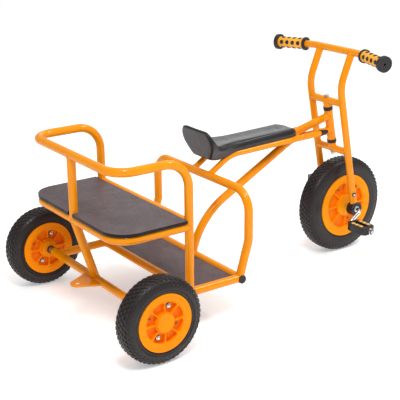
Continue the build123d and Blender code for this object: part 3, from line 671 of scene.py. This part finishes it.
bar_turn = steer(BAR_ALONG, LEG_Y + BAR_STRAIGHT, BAR_FORWARD)
bar_end = bar_turn + BAR_SWEEP
bar_run = (bar_end - bar_turn).normalized()
sleeve_start = bar_turn + bar_run * SLEEVE_ALONG
sleeve_u, sleeve_v = frame_of(bar_run)


def on_sleeve(along, angle, lift):
    """A point on the left sleeve's surface, or over it."""
    return (sleeve_start + bar_run * along
            + (sleeve_u * math.cos(angle) + sleeve_v * math.sin(angle)) * (SLEEVE_R + lift))


def dot(along, angle):
    """A low round dot that follows the sleeve."""
    verts, faces = [], []
    for size, lift in DOT_RINGS:
        for k in range(DOT_SEGMENTS):
            a = 2 * math.pi * k / DOT_SEGMENTS
            verts.append(on_sleeve(along + DOT_R * size * math.cos(a),
                                   angle + DOT_R * size * math.sin(a) / SLEEVE_R, lift))
    last = len(verts) - DOT_SEGMENTS
    for start in range(0, last, DOT_SEGMENTS):
        faces += bridge(start, start + DOT_SEGMENTS, DOT_SEGMENTS)
    faces += [(last + k, last + (k + 1) % DOT_SEGMENTS, len(verts)) for k in range(DOT_SEGMENTS)]
    return verts + [on_sleeve(along, angle, DOT_TOP)], faces


first = ((bar_end - sleeve_start).length - SLEEVE_GAP - DOT_PITCH * (DOT_COLUMNS - 1)) / 2
verts, faces = joined([dot(first + column * DOT_PITCH, 2 * math.pi * row / DOT_ROWS + DOT_TURN)
                       for row in range(DOT_ROWS) for column in range(DOT_COLUMNS)])
piece("grip_dots_left", verts, faces, "fork", "black_rubber", "black_rubber")
piece("grip_dots_right", [Vector((p.x, -p.y, p.z)) for p in verts], [f[::-1] for f in faces], "fork",
      "black_rubber", "black_rubber")


# Small hardware

# Profiles of turned forms, as pairs of distance along and radius. With each goes how far it starts inside
# what carries it, or how far over the form under it
BAR_PLUG, PLUG_IN = ((0, 0), (0, 0.0038), (0.0045, 0.0038), (0.0052, 0.0030), (0.0053, 0)), 0.004
LEG_WASHER, WASHER_IN = ((0, 0), (0, 0.0070), (0.0014, 0.0070), (0.0020, 0.0064), (0.0020, 0)), 0.0004
LEG_SCREW, SCREW_LIFT = ((0, 0), (0, 0.0040), (0.0014, 0.0038), (0.0022, 0.0026), (0.0024, 0)), 0.0020
STUB_NUT, NUT_IN = ((0, 0), (0, 0.0150), (0.0020, 0.0150), (0.0020, 0.0098), (0.0024, 0.0104),
                    (0.0068, 0.0104), (0.0074, 0.0096), (0.0074, 0)), 0.001
COLLAR, COLLAR_IN = ((0, 0), (0, 0.0098), (0.0012, 0.0098), (0.0018, 0.0092), (0.0018, 0)), 0.0003
HUB_SEAL, SEAL_IN = ((0, 0), (0, 0.0125), (0.0010, 0.0120), (0.0013, 0.0110), (0.0013, 0)), 0.0003
SPINDLE_RING, RING_IN = ((0, 0), (0, 0.0092), (0.0016, 0.0090), (0.0022, 0.0082), (0.0022, 0)), 0.001
SPINDLE_HEAD, HEAD_LIFT = ((0, 0), (0, 0.0062), (0.0014, 0.0060), (0.0026, 0.0046), (0.0030, 0)), 0.0021
SCREW_BACK = 0.28  # how much the leg screws face backward

axle_tube_end, hub_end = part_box("axle_tube")[1][1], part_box("rear_rim_left")[0][1]
housing_face, spindle_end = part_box("housing_left")[1][1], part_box("crank_axle")[1][1]
plugs, leg_washers, leg_screws, stub_nuts, collars, spindle_rings, spindle_heads = ([] for _ in range(7))
for name, side in SIDES.items():
    out = Y * side
    # a small plug in the hole of each grip's end cap
    mirror = Vector((1, side, 1))
    plugs.append(turned((bar_end - bar_run * PLUG_IN) * mirror, bar_run * mirror, BAR_PLUG, 20))
    # a screw with a black washer through each fork leg, above the axle
    screw_run = (out - X * SCREW_BACK).normalized()
    seat = steer(SCREW_ALONG, LEG_Y * side) + screw_run * (FORK_R - WASHER_IN)
    leg_washers.append(turned(seat, screw_run, LEG_WASHER, 24))
    leg_screws.append(turned(seat + screw_run * SCREW_LIFT, screw_run, LEG_SCREW, 24))
    # a nut on each stub axle, against the axle tube, and a dark seal in the hub
    stub_nuts.append(turned(Vector((REAR_X, side * (axle_tube_end - NUT_IN), REAR_R)), out, STUB_NUT, 6))
    seal = turned(Vector((REAR_X, side * (hub_end + SEAL_IN), REAR_R)), -out, HUB_SEAL, 32)
    hardware("hub_seal_" + name, [seal], "rear_wheel_" + name, "black_rubber", "black_rubber")
    # a bright collar where the crank leaves each bearing housing
    collars.append(turned(Vector((FRONT_X, side * (housing_face - COLLAR_IN), FRONT_R)), out, COLLAR, 32))
    # a dark ring and a domed head on the end of each pedal's spindle
    end = Vector((FRONT_X, side * (spindle_end - RING_IN), FRONT_R)) + CRANK_ARM * side
    spindle_rings.append(turned(end, out, SPINDLE_RING, 28))
    spindle_heads.append(turned(end + out * HEAD_LIFT, out, SPINDLE_HEAD, 28))
hardware("spindle_rings", spindle_rings, "front_wheel", "black_plastic", "black_plastic")
hardware("spindle_heads", spindle_heads, "front_wheel", "steel", "steel")
hardware("stub_nuts", stub_nuts, "frame", "dull_steel", "steel")
hardware("housing_collars", collars, "fork", "steel", "steel")
hardware("bar_end_plugs", plugs, "fork", "black_rubber", "black_rubber")
hardware("leg_screw_washers", leg_washers, "fork", "black_plastic", "black_plastic")
hardware("leg_screws", leg_screws, "fork", "chrome_steel", "chrome_steel")


# Pedal pads

PEDAL_Y = 0.166
PAD_ROW_X, PAD_STEP_Y, PAD_SEAT_Z = 0.016, 0.017, 0.0118
PAD_LENGTH, PAD_BREADTH = 0.0095, 0.0125
PAD_OUTLINE = ((0.5, 0.28), (0.28, 0.5), (-0.28, 0.5), (-0.5, 0.28), (-0.5, -0.28), (-0.28, -0.5),
               (0.28, -0.5), (0.5, -0.28))
PAD_RINGS = ((1.10, 0.0), (1.10, 0.0014), (0.98, 0.0021), (0.6, 0.0024))  # size and height


def pad(at, face):
    """One yellow pad on a pedal's upper or lower face."""
    verts = [at + Vector((a * PAD_LENGTH * size, b * PAD_BREADTH * size, face * lift))
             for size, lift in PAD_RINGS for a, b in PAD_OUTLINE]
    corners = len(PAD_OUTLINE)
    last = len(verts) - corners
    faces = [tuple(range(last, len(verts)))]
    for start in range(0, last, corners):
        faces += bridge(start, start + corners, corners)
    return verts, faces if face > 0 else [f[::-1] for f in faces]


for name, side in SIDES.items():
    middle = Vector((FRONT_X, PEDAL_Y * side, FRONT_R)) + CRANK_ARM * side
    pads = [pad(middle + Vector((row * PAD_ROW_X, step * PAD_STEP_Y, face * PAD_SEAT_Z)), face)
            for face in (1, -1) for row in (-1, 1) for step in (-1, 0, 1)]
    hardware("pedal_pads_" + name, pads, "pedal_" + name, "pad_rubber", "yellow_rubber")


# Floor and light

FLOOR_SIZE, FLOOR_GLOW, WORLD_LIGHT = 160, 0.34, 0.44

bpy.ops.mesh.primitive_plane_add(size=FLOOR_SIZE, location=(0, 0, 0))
floor = bpy.context.object
floor.name = "floor"
ground = Finish("Floor", Specular_IOR_Level=0.2, Emission_Color=(1, 1, 1, 1), Emission_Strength=FLOOR_GLOW)
ground.colour(ground.mix(ground.noise(2.0, 3.0), (0.93, 0.93, 0.93), (0.915, 0.915, 0.92)))
ground.roughness(4.0, 2.0, 0.65, 0.75)
floor.data.materials.append(ground.material)

world = bpy.data.worlds.new("World")
world.use_nodes = True
background = world.node_tree.nodes["Background"]
background.inputs["Color"].default_value = (1, 1, 1, 1)
background.inputs["Strength"].default_value = WORLD_LIGHT
bpy.context.scene.world = world


def lamp(name, kind, direction, place=(0, 0, 0), **settings):
    """A light that shines in a direction."""
    data = bpy.data.lights.new(name, kind)
    for key, value in settings.items():
        setattr(data, key, value)
    thing = bpy.data.objects.new(name, data)
    thing.location = place
    thing.rotation_euler = Vector(direction).to_track_quat("-Z", "Y").to_euler()
    bpy.context.scene.collection.objects.link(thing)


def softbox(name, place, target, size, power):
    lamp(name, "AREA", Vector(target) - Vector(place), place, shape="DISK", size=size, energy=power)


lamp("sky_key", "SUN", (0.25, 0.45, -1.0), angle=math.radians(60), energy=0.45)
lamp("sky_back", "SUN", (-0.3, -0.3, -1.0), angle=math.radians(80), energy=0.55)
softbox("key", (-1.0, -1.3, 2.5), (0, 0, 0.3), 0.8, 34)
softbox("side", (1.7, -1.0, 2.7), (0.1, 0, 0.4), 0.7, 26)
softbox("far", (1.9, 2.4, 1.7), (0, 0, 0.4), 2.0, 9)


# Camera

# Solved from the photograph, whose frame is 400 pixels wide
CAMERA_PLACE = (-1.7785, -2.3569, 1.2725)
YAW, PITCH, ROLL = math.radians(54.89), math.radians(-18.91), math.radians(-0.48)
FOCAL_PIXELS, FRAME_PIXELS, SENSOR_MM = 1010.28, 400, 36.0
FAR_CLIP = 200

ahead = Vector((math.cos(PITCH) * math.cos(YAW), math.cos(PITCH) * math.sin(YAW), math.sin(PITCH)))
level = ahead.cross(Z).normalized()
upright = level.cross(ahead)
right = level * math.cos(ROLL) + upright * math.sin(ROLL)
up = upright * math.cos(ROLL) - level * math.sin(ROLL)
camera_data = bpy.data.cameras.new("camera")
camera_data.sensor_width = SENSOR_MM
camera_data.lens = FOCAL_PIXELS / FRAME_PIXELS * SENSOR_MM
camera_data.clip_end = FAR_CLIP
camera = bpy.data.objects.new("camera", camera_data)
turn = Matrix((right, up, -ahead)).transposed().to_4x4()
camera.matrix_world = Matrix.Translation(CAMERA_PLACE) @ turn
bpy.context.scene.collection.objects.link(camera)
bpy.context.scene.camera = camera
bpy.context.scene.view_settings.view_transform = "Standard"
